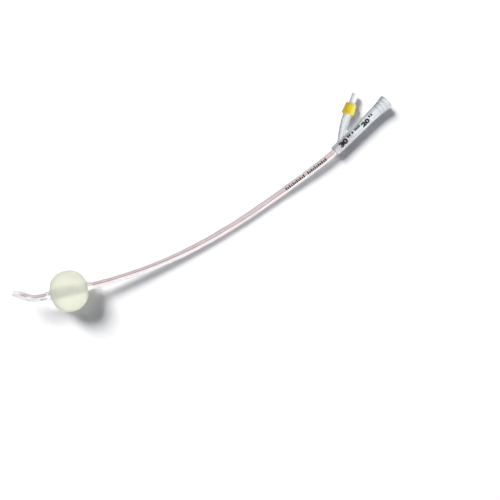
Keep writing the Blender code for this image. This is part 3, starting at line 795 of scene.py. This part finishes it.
def chamber_profile():
    pitch = (ARM_STRAIGHT + CHAMBER_DEPTH) / (CHAMBER_BARBS + 1)
    profile = [
        (FLANGE_R, CHAMBER_TOP),
        (FLANGE_R, CHAMBER_FLANGE_LOW),
        (CHAMBER_ROOT_R, CHAMBER_FLANGE_LOW),
    ]
    for i in range(CHAMBER_BARBS):
        height = ARM_STRAIGHT - pitch * (i + 0.5)
        profile += [(CHAMBER_ROOT_R, height), (CHAMBER_BARB_R, height)]
        profile.append((CHAMBER_ROOT_R, height - pitch * BARB_SHARE))
    profile += [
        (CHAMBER_ROOT_R - EDGE, -CHAMBER_DEPTH),
        (CHAMBER_OUTLET_R, -CHAMBER_DEPTH),
        (CHAMBER_OUTLET_R, CHAMBER_INSIDE_LOW),
        (CHAMBER_BORE_R, CHAMBER_INSIDE_LOW),
        (CHAMBER_BORE_R, CHAMBER_TOP),
    ]
    return profile


def plunger_profile():
    return [
        (0.0, PLUNGER_TOP),
        (STEM_R, PLUNGER_TOP),
        (STEM_R, HEAD_TOP),
        (HEAD_R, HEAD_TOP),
        (HEAD_R, HEAD_LOW),
        (GUIDE_R, HEAD_LOW),
        (GUIDE_R, HEAD_LOW - GUIDE_LENGTH),
        (0.0, HEAD_LOW - GUIDE_LENGTH),
    ]


def seal_profile():
    inner = STEM_R + SEAT_GAP
    return [(HEAD_R, SEAL_TOP), (HEAD_R, SEAL_LOW), (inner, SEAL_LOW), (inner, SEAL_TOP)]


def make_spring(mat):
    """A coil whose end turns lie flat, made for the plunger at rest. The real coil shortens as the plunger
    goes in.
    """
    low = CHAMBER_INSIDE_LOW + SEAT_GAP + SPRING_WIRE_R
    high = HEAD_LOW - SEAT_GAP - SPRING_WIRE_R
    knots = (0, 1, SPRING_TURNS - 1, SPRING_TURNS)
    heights = (low, low + SPRING_END_PITCH, high - SPRING_END_PITCH, high)
    per_turn = 32
    place = valve_place()
    points = []
    for i in range(SPRING_TURNS * per_turn + 1):
        turns = i / per_turn
        height = np.interp(turns, knots, heights)
        angle = 2 * math.pi * turns
        coil = Vector((SPRING_COIL_R * math.cos(angle), SPRING_COIL_R * math.sin(angle), height))
        points.append(place @ coil)
    spring = smooth(swept("spring", points, [SPRING_WIRE_R] * len(points), steps=16), 50)
    give_materials(spring, mat)
    return spring


def mark_valve_side(mesh):
    """Stores how far each vertex is from the valve's axis to the arm's side, in the port's radii, to mask
    painted light and shade.
    """
    centre = valve_place().translation
    towards = Vector((-math.sin(ARM_END_ANGLE), math.cos(ARM_END_ANGLE), 0))
    stored = mesh.attributes.new(ARM_SIDE, "FLOAT", "POINT")
    for vertex, value in zip(mesh.vertices, stored.data):
        value.value = (vertex.co - centre).dot(towards) / PORT_R


def make_valve_piece(name, profile, round_by, mat, closed=True):
    piece = turned(name, rounded(profile, round_by, closed=closed), valve_place(), closed=closed)
    give_materials(piece, mat)
    return smooth(piece)


# Print


def flat_word(word, width, height):
    """A word as a flat mesh from (0, 0) to (width, height)."""
    font = bpy.data.curves.new("word", "FONT")
    font.body = word
    font.offset = PRINT_BOLDNESS
    font.resolution_u = 6
    mesh = mesh_of_curve("word", font)
    points = np.array([v.co for v in mesh.vertices])
    low, high = points.min(axis=0), points.max(axis=0)
    for vertex in mesh.vertices:
        vertex.co.x = (vertex.co.x - low[0]) / (high[0] - low[0]) * width
        vertex.co.y = (vertex.co.y - low[1]) / (high[1] - low[1]) * height
        vertex.co.z = 0.0
    return mesh


def printed(name, placed, wrap, mat):
    """Lays flat meshes on a surface, each at its (x, y) and cut into cells small enough to bend.
    wrap gives the surface point and normal for a flat (x, y)."""
    work = bmesh.new()
    for mesh, x, y in placed:
        mesh.transform(Matrix.Translation((x, y, 0)))
        work.from_mesh(mesh)
        bpy.data.meshes.remove(mesh)
    bmesh.ops.remove_doubles(work, verts=work.verts, dist=MERGE)
    for axis in (0, 1):
        values = [v.co[axis] for v in work.verts]
        normal = Vector((1 - axis, axis, 0))
        for at in np.arange(min(values) + PRINT_CELL, max(values), PRINT_CELL):
            everything = [*work.verts, *work.edges, *work.faces]
            bmesh.ops.bisect_plane(work, geom=everything, plane_co=normal * at, plane_no=normal)
    for vertex in work.verts:
        point, normal = wrap(vertex.co.x, vertex.co.y)
        vertex.co = point + normal * PRINT_LIFT
    obj = add_object(name, mesh_from(work, name))
    give_materials(obj, mat)
    skin = obj.modifiers.new("ink", "SOLIDIFY")
    skin.thickness = PRINT_DEPTH
    skin.offset = 1.0
    return smooth(applied(obj), 40)


def on_connector(x, y):
    """The connector's surface x along from the exit and y round from its top towards the arm."""
    radius = TUBE_END_R + (BODY_R - TUBE_END_R) * x / (BODY_LENGTH - BANDS[-1][1] - NECK_LENGTH)
    normal = Vector((0, math.sin(y / radius), math.cos(y / radius)))
    return EXIT_AT + Vector((x, 0, 0)) + normal * radius, normal


def placed_bars(rows):
    """A flat mesh of upright bars for each row, of the row's heights in turn, with its (x, y)."""
    marks = []
    for count, pitch, bar, heights, x, y in rows:
        work = bmesh.new()
        for i in range(count):
            height = heights[i % len(heights)]
            corners = [(0, 0), (bar, 0), (bar, height), (0, height)]
            work.faces.new([work.verts.new((i * (pitch * MM) + a * MM, b * MM, 0)) for a, b in corners])
        marks.append((mesh_from(work, "bars"), x * MM, y * MM))
    return marks


def make_connector_print(mat):
    marks = placed_bars(CONNECTOR_BARS)
    for number, width, height, x, y in CONNECTOR_NUMBERS:
        marks.append((flat_word(number, width * MM, height * MM), x * MM, y * MM))
    marks.sort(key=lambda mark: mark[1])
    return printed("connector_print", marks, on_connector, mat)


def make_tube_print(path, mat):
    exit_s = BODY_LENGTH - TUBE_STOP_DEPTH - SEAT_GAP

    def on_tube(x, y):
        centre, _, side, top = path.frame(exit_s + x)
        normal = side * math.sin(y / TUBE_R) + top * math.cos(y / TUBE_R)
        return centre + normal * TUBE_R, normal

    return printed("tube_print", placed_bars(TUBE_BARS), on_tube, mat)


# Materials


class Shading:
    """The nodes of a material or of the world, with short ways to add and link them."""

    def __init__(self, owner):
        owner.use_nodes = True
        self.nodes = owner.node_tree.nodes
        self.links = owner.node_tree.links
        self.shader = self.nodes.get("Principled BSDF")

    def feed(self, socket, value):
        """Gives the socket a number, a colour or what another socket gives."""
        if isinstance(value, bpy.types.NodeSocket):
            self.links.new(value, socket)
        elif socket.type == "RGBA":
            socket.default_value = (*value, 1)
        else:
            socket.default_value = value

    def tune(self, node, **inputs):
        """Feeds the node's inputs. Their names have _ for a space."""
        for name, value in inputs.items():
            self.feed(node.inputs[name.replace("_", " ")], value)
        return node

    def add(self, kind, **inputs):
        return self.tune(self.nodes.new("ShaderNode" + kind), **inputs)

    def made(self, kind, **inputs):
        """The first output of a new node."""
        return self.add(kind, **inputs).outputs[0]

    def split(self, vector):
        """A vector's X, Y and Z."""
        return self.add("SeparateXYZ", Vector=vector).outputs

    def place(self, space="Object"):
        return self.split(self.add("TexCoord").outputs[space])

    def stored(self, name):
        """The value that the mesh stores under the name."""
        node = self.add("Attribute")
        node.attribute_name = name
        return node.outputs["Fac"]

    def calc(self, operation, first, second=0.0):
        node = self.add("Math")
        node.operation = operation
        self.feed(node.inputs[0], first)
        self.feed(node.inputs[1], second)
        return node.outputs[0]

    def product(self, first, *others):
        for other in others:
            first = self.calc("MULTIPLY", first, other)
        return first

    def ramp(self, value, start, end, out_start=0.0, out_end=1.0):
        """A smooth change, level before the start and after the end."""
        ends = {"From_Min": start, "From_Max": end, "To_Min": out_start, "To_Max": out_end}
        node = self.add("MapRange", Value=value, **ends)
        node.interpolation_type = "SMOOTHSTEP"
        return node.outputs["Result"]

    def band(self, value, middle, full, none, peak=1.0, rest=0.0):
        """The peak where the value is within full of the middle, and the rest past none."""
        off = self.calc("ABSOLUTE", self.calc("SUBTRACT", value, middle))
        return self.ramp(off, full, none, peak, rest)

    def mixed(self, share, first, second):
        """The first colour where the share is 0 and the second where it is 1."""
        node = self.add("Mix")
        node.data_type = "RGBA"
        return self.tune(node, Factor=share, A=first, B=second).outputs["Result"]

    def blended(self, share, first, second):
        """The first shader where the share is 0 and the second where it is 1."""
        node = self.add("MixShader", Fac=share)
        self.feed(node.inputs[1], first)
        self.feed(node.inputs[2], second)
        return node.outputs[0]

    def show(self, shader, socket="Surface"):
        self.feed(self.nodes["Material Output"].inputs[socket], shader)

    def base_colour(self):
        return self.shader.inputs["Base Color"].links[0].from_socket


def grained(name, first, second, grain, **inputs):
    """A material of two close colours with a fine uneven surface, both from noise."""
    mat = bpy.data.materials.new(name)
    shade = Shading(mat)
    scale, strength, height = grain
    place = shade.add("TexCoord").outputs["Object"]
    noise = shade.add("TexNoise", Vector=place, Scale=scale, Detail=3.0).outputs["Fac"]
    bump = shade.add("Bump", Strength=strength, Distance=height, Height=noise)
    colours = shade.add("ValToRGB", Fac=noise)
    for element, position, colour in zip(colours.color_ramp.elements, (0.35, 0.65), (first, second)):
        element.position = position
        element.color = (*colour, 1)
    shade.tune(shade.shader, Normal=bump.outputs["Normal"], Base_Color=colours.outputs["Color"], **inputs)
    return mat


def clear_plastic(name, first, second, transmission, roughness, ior=1.46):
    inputs = {"Transmission_Weight": transmission, "Roughness": roughness, "IOR": ior}
    return grained(name, first, second, CLEAR_GRAIN, **inputs)


def opaque_plastic(name, first, second, roughness, shine=0.5):
    return grained(name, first, second, OPAQUE_GRAIN, Roughness=roughness, Specular_IOR_Level=shine)


def steel_material():
    inputs = {"Metallic": 1.0, "Roughness": 0.28}
    return grained("spring_steel", (0.52, 0.52, 0.54), (0.66, 0.66, 0.67), STEEL_GRAIN, **inputs)


def tube_material():
    """Clear plastic with a red line in its wall, a blush from the line to the arm's side and a painted dark
    edge line.
    In the balloon it has painted shade and its line is drawn darker; in the connector it has painted shade
    too."""
    mat = clear_plastic("tube_plastic", (0.83, 0.80, 0.80), (0.86, 0.83, 0.83), 0.15, 0.14)
    shade = Shading(mat)
    inputs = {"Subsurface_Weight": 1.0, "Subsurface_Radius": (1.0, 1.0, 1.0), "Subsurface_Scale": 4.0 * MM}
    shade.tune(shade.shader, **inputs)
    uv = shade.add("UVMap")
    uv.uv_map = TUBE_MAP
    skin = shade.split(uv.outputs["UV"])
    around, along = skin["X"], skin["Y"]

    # Painted shade on the tube where the balloon is round it, darker away from the arm's side and at the
    # arm's side edge
    balloon_shade = shade.mixed(shade.ramp(around, *BALLOON_SHADE_SIDE), (0.64, 0.67, 0.61), (0.36, 0.39, 0.35))
    balloon_shade = shade.mixed(shade.ramp(around, *BALLOON_SHADE_EDGE, 0.25, 0.0), balloon_shade, (0.30, 0.32, 0.29))
    balloon_half = BALLOON_LENGTH / 2 / TUBE_LENGTH
    balloon_at = 1.0 - BALLOON_FROM_END / TUBE_LENGTH
    bare = shade.band(along, balloon_at, balloon_half * 0.9, balloon_half * 1.02, 0.0, 1.0)
    colour = shade.mixed(bare, balloon_shade, shade.base_colour())
    # Painted shade on the tube inside the connector
    shaded_in_connector = shade.ramp(shade.place()["X"], EXIT_AT.x - EDGE, EXIT_AT.x + EDGE, 0.0, 0.9)
    colour = shade.mixed(shaded_in_connector, colour, (0.38, 0.345, 0.355))

    line_at = shade.ramp(along, *LINE_DRIFT, *LINE_AT)
    past_line = shade.calc("SUBTRACT", around, line_at)
    blush = shade.product(shade.ramp(around, *BLUSH_START), shade.ramp(past_line, *BLUSH_END, 1.0, 0.0))
    # A painted dark line near the tube's outline on the arm's side
    edge = shade.band(around, PAINTED_EDGE_AT, *PAINTED_EDGE_HALF)
    line = shade.band(around, line_at, *LINE_HALF)
    # The red line as it shows in the balloon, drawn darker there with the painted shade
    line_in_balloon = shade.band(around, BALLOON_LINE_AT, *BALLOON_LINE_HALF)
    in_balloon = shade.ramp(bare, 0.0, 1.0, 1.0, 0.0)
    for mark, shown, share, tint in (
        (blush, bare, 0.55, (0.62, 0.49, 0.48)),
        (edge, bare, 0.55, (0.36, 0.33, 0.37)),
        (line, bare, 0.85, (0.50, 0.25, 0.25)),
        (line_in_balloon, in_balloon, 0.95, (0.10, 0.07, 0.07)),
    ):
        colour = shade.mixed(shade.product(mark, shown, share), colour, tint)

    # Painted light round each eye and a painted shade outline at its rim
    for from_end, turn, length, outline_shade_share in EYES:
        off = eye_distance(shade, around, along, from_end, turn, length)
        colour = shade.mixed(shade.ramp(off, *EYE_PAINTED_LIGHT, 0.85, 0.0), colour, (0.80, 0.85, 0.88))
        outline = shade.band(off, *EYE_PAINTED_OUTLINE, outline_shade_share)
        colour = shade.mixed(outline, colour, (0.30, 0.33, 0.36))
    shade.tune(shade.shader, Base_Color=colour)
    passed = shade.product(shade.add("LightPath").outputs["Is Shadow Ray"], TUBE_LETS_THROUGH)
    shade.show(shade.blended(passed, shade.shader.outputs[0], shade.made("BsdfTransparent")))
    return mat


def eye_distance(shade, around, along, from_end, turn, length):
    """The distance from an eye's middle over the tube's skin, where 1 is the eye's rim."""
    lengthwise = shade.calc("SUBTRACT", along, 1.0 - from_end / TUBE_LENGTH)
    lengthwise = shade.product(lengthwise, TUBE_LENGTH / (length / 2))
    across = shade.calc("SUBTRACT", around, turn / (2 * math.pi) + 0.25)
    across = shade.product(across, 2 * math.pi * TUBE_R / (EYE_WIDTH / 2))
    squares = shade.calc("ADD", shade.product(lengthwise, lengthwise), shade.product(across, across))
    return shade.calc("SQRT", squares)


def dim_for_bounces(shade):
    """Keeps the lamps' light that the walls pass on from filling the floor's shadow beside them."""
    taken = shade.product(shade.add("LightPath").outputs["Is Diffuse Ray"], BOUNCE_DIM)
    dim = shade.made("BsdfDiffuse", Color=(0.05, 0.05, 0.06))
    shade.show(shade.blended(taken, shade.shader.outputs[0], dim))


def connector_material():
    """Clear soft plastic with painted shade and a painted dark edge on the arm's side, and painted shade
    lines at the edges of the steps and of the socket.
    """
    mat = clear_plastic("connector_plastic", (0.96, 0.975, 0.98), (0.97, 0.985, 0.99), 0.75, 0.08)
    shade = Shading(mat)
    where = shade.place()
    facing = shade.stored(ARM_SIDE)
    # Painted shade on the outside that faces the arm's side
    colour = shade.mixed(shade.ramp(facing, 0.1, 0.8, 0.0, 0.5), shade.base_colour(), (0.58, 0.66, 0.71))
    # A painted dark line along the outline on the arm's side
    outline = shade.product(shade.ramp(facing, 0.70, 0.82), shade.ramp(facing, 0.93, 0.97, 0.8, 0.2))
    colour = shade.mixed(outline, colour, (0.10, 0.14, 0.17))
    # Painted shade lines at the steps and ends: stronger on the arm's side and on top, fainter underneath,
    # none in the bores
    lines = 0.0
    for back, width in PAINTED_RING_LINES:
        line = shade.band(where["X"], MOUTH_AT.x - back, width * 0.4, width)
        lines = shade.calc("MAXIMUM", line, lines)
    by_side = shade.ramp(facing, 0.0, 0.6, 0.5, 0.9)
    outside = shade.ramp(facing, -0.7, -0.3)
    above = shade.ramp(where["Z"], MOUTH_AT.z - MM, MOUTH_AT.z + MM, 0.3, 1.0)
    share = shade.product(lines, by_side, outside, above)
    colour = shade.mixed(share, colour, (0.12, 0.16, 0.19))
    shade.tune(shade.shader, Base_Color=colour)
    dim_for_bounces(shade)
    haze = shade.made("VolumeAbsorption", Color=(0.62, 0.72, 0.78), Density=WALL_HAZE)
    shade.show(haze, "Volume")
    return mat


def shade_by_side(shade, *sides):
    """Mixes in painted light and shade. Each has where it starts and is full, as mark_valve_side counts, and
    its share.
    """
    colour = shade.base_colour()
    across = shade.stored(ARM_SIDE)
    for start, full, share, tint in sides:
        colour = shade.mixed(shade.ramp(across, start, full, 0.0, share), colour, tint)
    shade.tune(shade.shader, Base_Color=colour)


def rigid_material():
    """Clear rigid plastic with painted light on the side that the key light is on and painted shade on the
    arm's side.
    """
    mat = clear_plastic("rigid_plastic", (0.80, 0.81, 0.83), (0.85, 0.86, 0.87), 0.6, 0.12, 1.45)
    painted_light = (0.3, -0.6, 1.0, (1.0, 1.0, 1.0))
    shade_by_side(Shading(mat), painted_light, (0.1, 0.8, 0.6, (0.60, 0.62, 0.63)))
    return mat


def yellow_material():
    """Yellow plastic with painted light on the side that the key light is on and painted shade on the arm's
    side.
    """
    mat = opaque_plastic("yellow_plastic", (0.87, 0.64, 0.0), (0.95, 0.75, 0.0), 0.35, shine=0.4)
    painted_light = (-0.2, -1.5, 1.0, (1.0, 0.97, 0.20))
    shade_by_side(Shading(mat), painted_light, (0.2, 1.4, 0.6, (0.82, 0.50, 0.0)))
    dim_for_bounces(Shading(mat))
    return mat


def balloon_materials():
    """The wall's outer face bends light as the water behind it does. Its inner face, which the water wets,
    only clouds it.
    """
    outer = clear_plastic("balloon_latex", (0.955, 0.96, 0.89), (0.975, 0.98, 0.93), 0.7, 0.03, 1.42)
    shade = Shading(outer)
    shade.tune(shade.shader, Specular_IOR_Level=0.3)
    facing = shade.add("LayerWeight", Blend=0.5).outputs["Facing"]
    cream = shade.made("BsdfDiffuse", Color=(0.68, 0.69, 0.53))
    rim = shade.ramp(facing, 0.25, 1.0, 0.0, 0.8)
    shade.show(shade.blended(rim, shade.shader.outputs[0], cream))

    inner, shade = bare_material("balloon_wet_face")
    clear = shade.made("BsdfTransparent", Color=(0.98, 0.98, 0.95))
    cloud = shade.made("BsdfTranslucent", Color=(0.94, 0.94, 0.80))
    shade.show(shade.blended(0.15, clear, cloud))
    cuff = clear_plastic("balloon_cuff", (0.90, 0.92, 0.90), (0.93, 0.94, 0.92), 0.92, 0.1, 1.34)
    return outer, inner, cuff


def bare_material(name):
    """A material without a shader of its own, and its nodes."""
    mat = bpy.data.materials.new(name)
    shade = Shading(mat)
    shade.nodes.remove(shade.shader)
    return mat, shade


# Surroundings


def make_floor():
    """A white floor that keeps the shadow, and shows paler through clear plastic."""
    floor = made_shape("floor", bmesh.ops.create_grid, x_segments=1, y_segments=1, size=FLOOR_SIZE)
    mat, shade = bare_material("floor_paint")
    tint = shade.mixed(seen_rays(shade), (0.72, 0.72, 0.72), WHITE)
    paint = shade.made("BsdfDiffuse", Color=tint)
    glow = shade.product(seen_rays(shade, ("Is Transmission Ray",)), FLOOR_GLOW)
    shade.show(shade.blended(glow, paint, shade.made("Emission")))
    give_materials(floor, mat)
    floor.location.z = cad_low.z - 0.1 * MM
    return floor


def seen_rays(shade, kinds=("Is Camera Ray", "Is Glossy Ray", "Is Transmission Ray")):
    """1 for the rays that show the background, and 0 for those that carry light to a surface."""
    path = shade.add("LightPath").outputs
    total = 0.0
    for kind in kinds:
        total = shade.calc("MAXIMUM", path[kind], total)
    return shade.product(total, shade.calc("LESS_THAN", path["Diffuse Depth"], 0.5))


def make_light(floor):
    world = bpy.data.worlds.new("world")
    bpy.context.scene.world = world
    shade = Shading(world)
    tint = shade.mixed(seen_rays(shade), SKY_COLOUR, WHITE)
    screen = shade.ramp(shade.place("Generated")["Y"], *SCREEN_EDGE, 1.0, SCREEN_STRENGTH)
    mirrored = shade.product(seen_rays(shade, ("Is Glossy Ray", "Is Transmission Ray")), screen)
    shown = shade.calc("MAXIMUM", mirrored, seen_rays(shade, ("Is Camera Ray",)))
    strength = shade.calc("MAXIMUM", shown, SKY_STRENGTH)
    shade.tune(shade.nodes["Background"], Color=tint, Strength=strength)
    add_sun("floor_sun", *FLOOR_SUN, floor, "INCLUDE")
    add_sun("key", *KEY_LIGHT, floor, "EXCLUDE").data.use_shadow = False
    add_sun("fill", *FILL_LIGHT, floor, "EXCLUDE").data.use_shadow = False
    bpy.context.scene.view_settings.view_transform = "Standard"


def add_sun(name, side, elevation, spread, strength, floor, on_floor):
    """A sun over +Y for side 1 or over -Y for side -1, which lights the floor alone or all but it."""
    lamp = bpy.data.lights.new(name, "SUN")
    lamp.energy = strength
    lamp.angle = spread
    lamp.cycles.use_multiple_importance_sampling = False
    sun = add_object(name, lamp)
    towards = Vector((0, side * math.cos(elevation), math.sin(elevation)))
    sun.rotation_mode = "QUATERNION"
    sun.rotation_quaternion = towards.to_track_quat("Z", "Y")
    lit = bpy.data.collections.new(name + "_lights")
    lit.objects.link(floor)
    lit.collection_objects[0].light_linking.link_state = on_floor
    sun.light_linking.receiver_collection = lit
    return sun


def dress(piece, body, node):
    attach(piece, body)
    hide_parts(node)


def main():
    make_camera()
    path = tube_path()
    # The eyes' walls get a darker plastic as painted shade
    cut = clear_plastic("eye_wall_painted_shade", (0.66, 0.71, 0.74), (0.70, 0.75, 0.78), 0.15, 0.3)
    tube = make_tube(path, tube_material(), cut)
    balloon = make_balloon(path, *balloon_materials())
    dress(tube, CATHETER, "catheter_tube")
    dress(balloon, CATHETER, "retention_balloon")

    dress(make_connector(connector_material()), CATHETER, "y_connector")

    collar = make_valve_piece("collar", collar_profile(), 0.3 * MM, yellow_material())
    mark_valve_side(collar.data)
    dress(collar, CATHETER, "valve_collar")

    clear_rigid = rigid_material()
    port = make_valve_piece("port", port_profile(), 0.15 * MM, clear_rigid)
    mark_valve_side(port.data)
    dress(port, CATHETER, "luer_port")
    chamber = make_valve_piece("chamber", chamber_profile(), 0.1 * MM, clear_rigid)
    dress(chamber, CATHETER, "valve_chamber")

    white = opaque_plastic("white_plastic", (0.82, 0.82, 0.80), (0.87, 0.87, 0.85), 0.35)
    stem = make_valve_piece("plunger_stem", plunger_profile(), 0.12 * MM, white, closed=False)
    dress(stem, PLUNGER, "valve_plunger")
    black = opaque_plastic("seal_rubber", (0.05, 0.05, 0.05), (0.07, 0.07, 0.07), 0.6)
    seal = make_valve_piece("seal", seal_profile(), 0.15 * MM, black)
    dress(seal, PLUNGER, "valve_seal")

    spring = make_spring(steel_material())
    dress(spring, CATHETER, "valve_spring")
    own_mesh(spring)

    ink = opaque_plastic("ink", (0.008, 0.008, 0.010), (0.014, 0.014, 0.016), 0.7, shine=0.15)
    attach(make_connector_print(ink), CATHETER)
    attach(make_tube_print(path, ink), CATHETER)

    make_light(make_floor())


main()
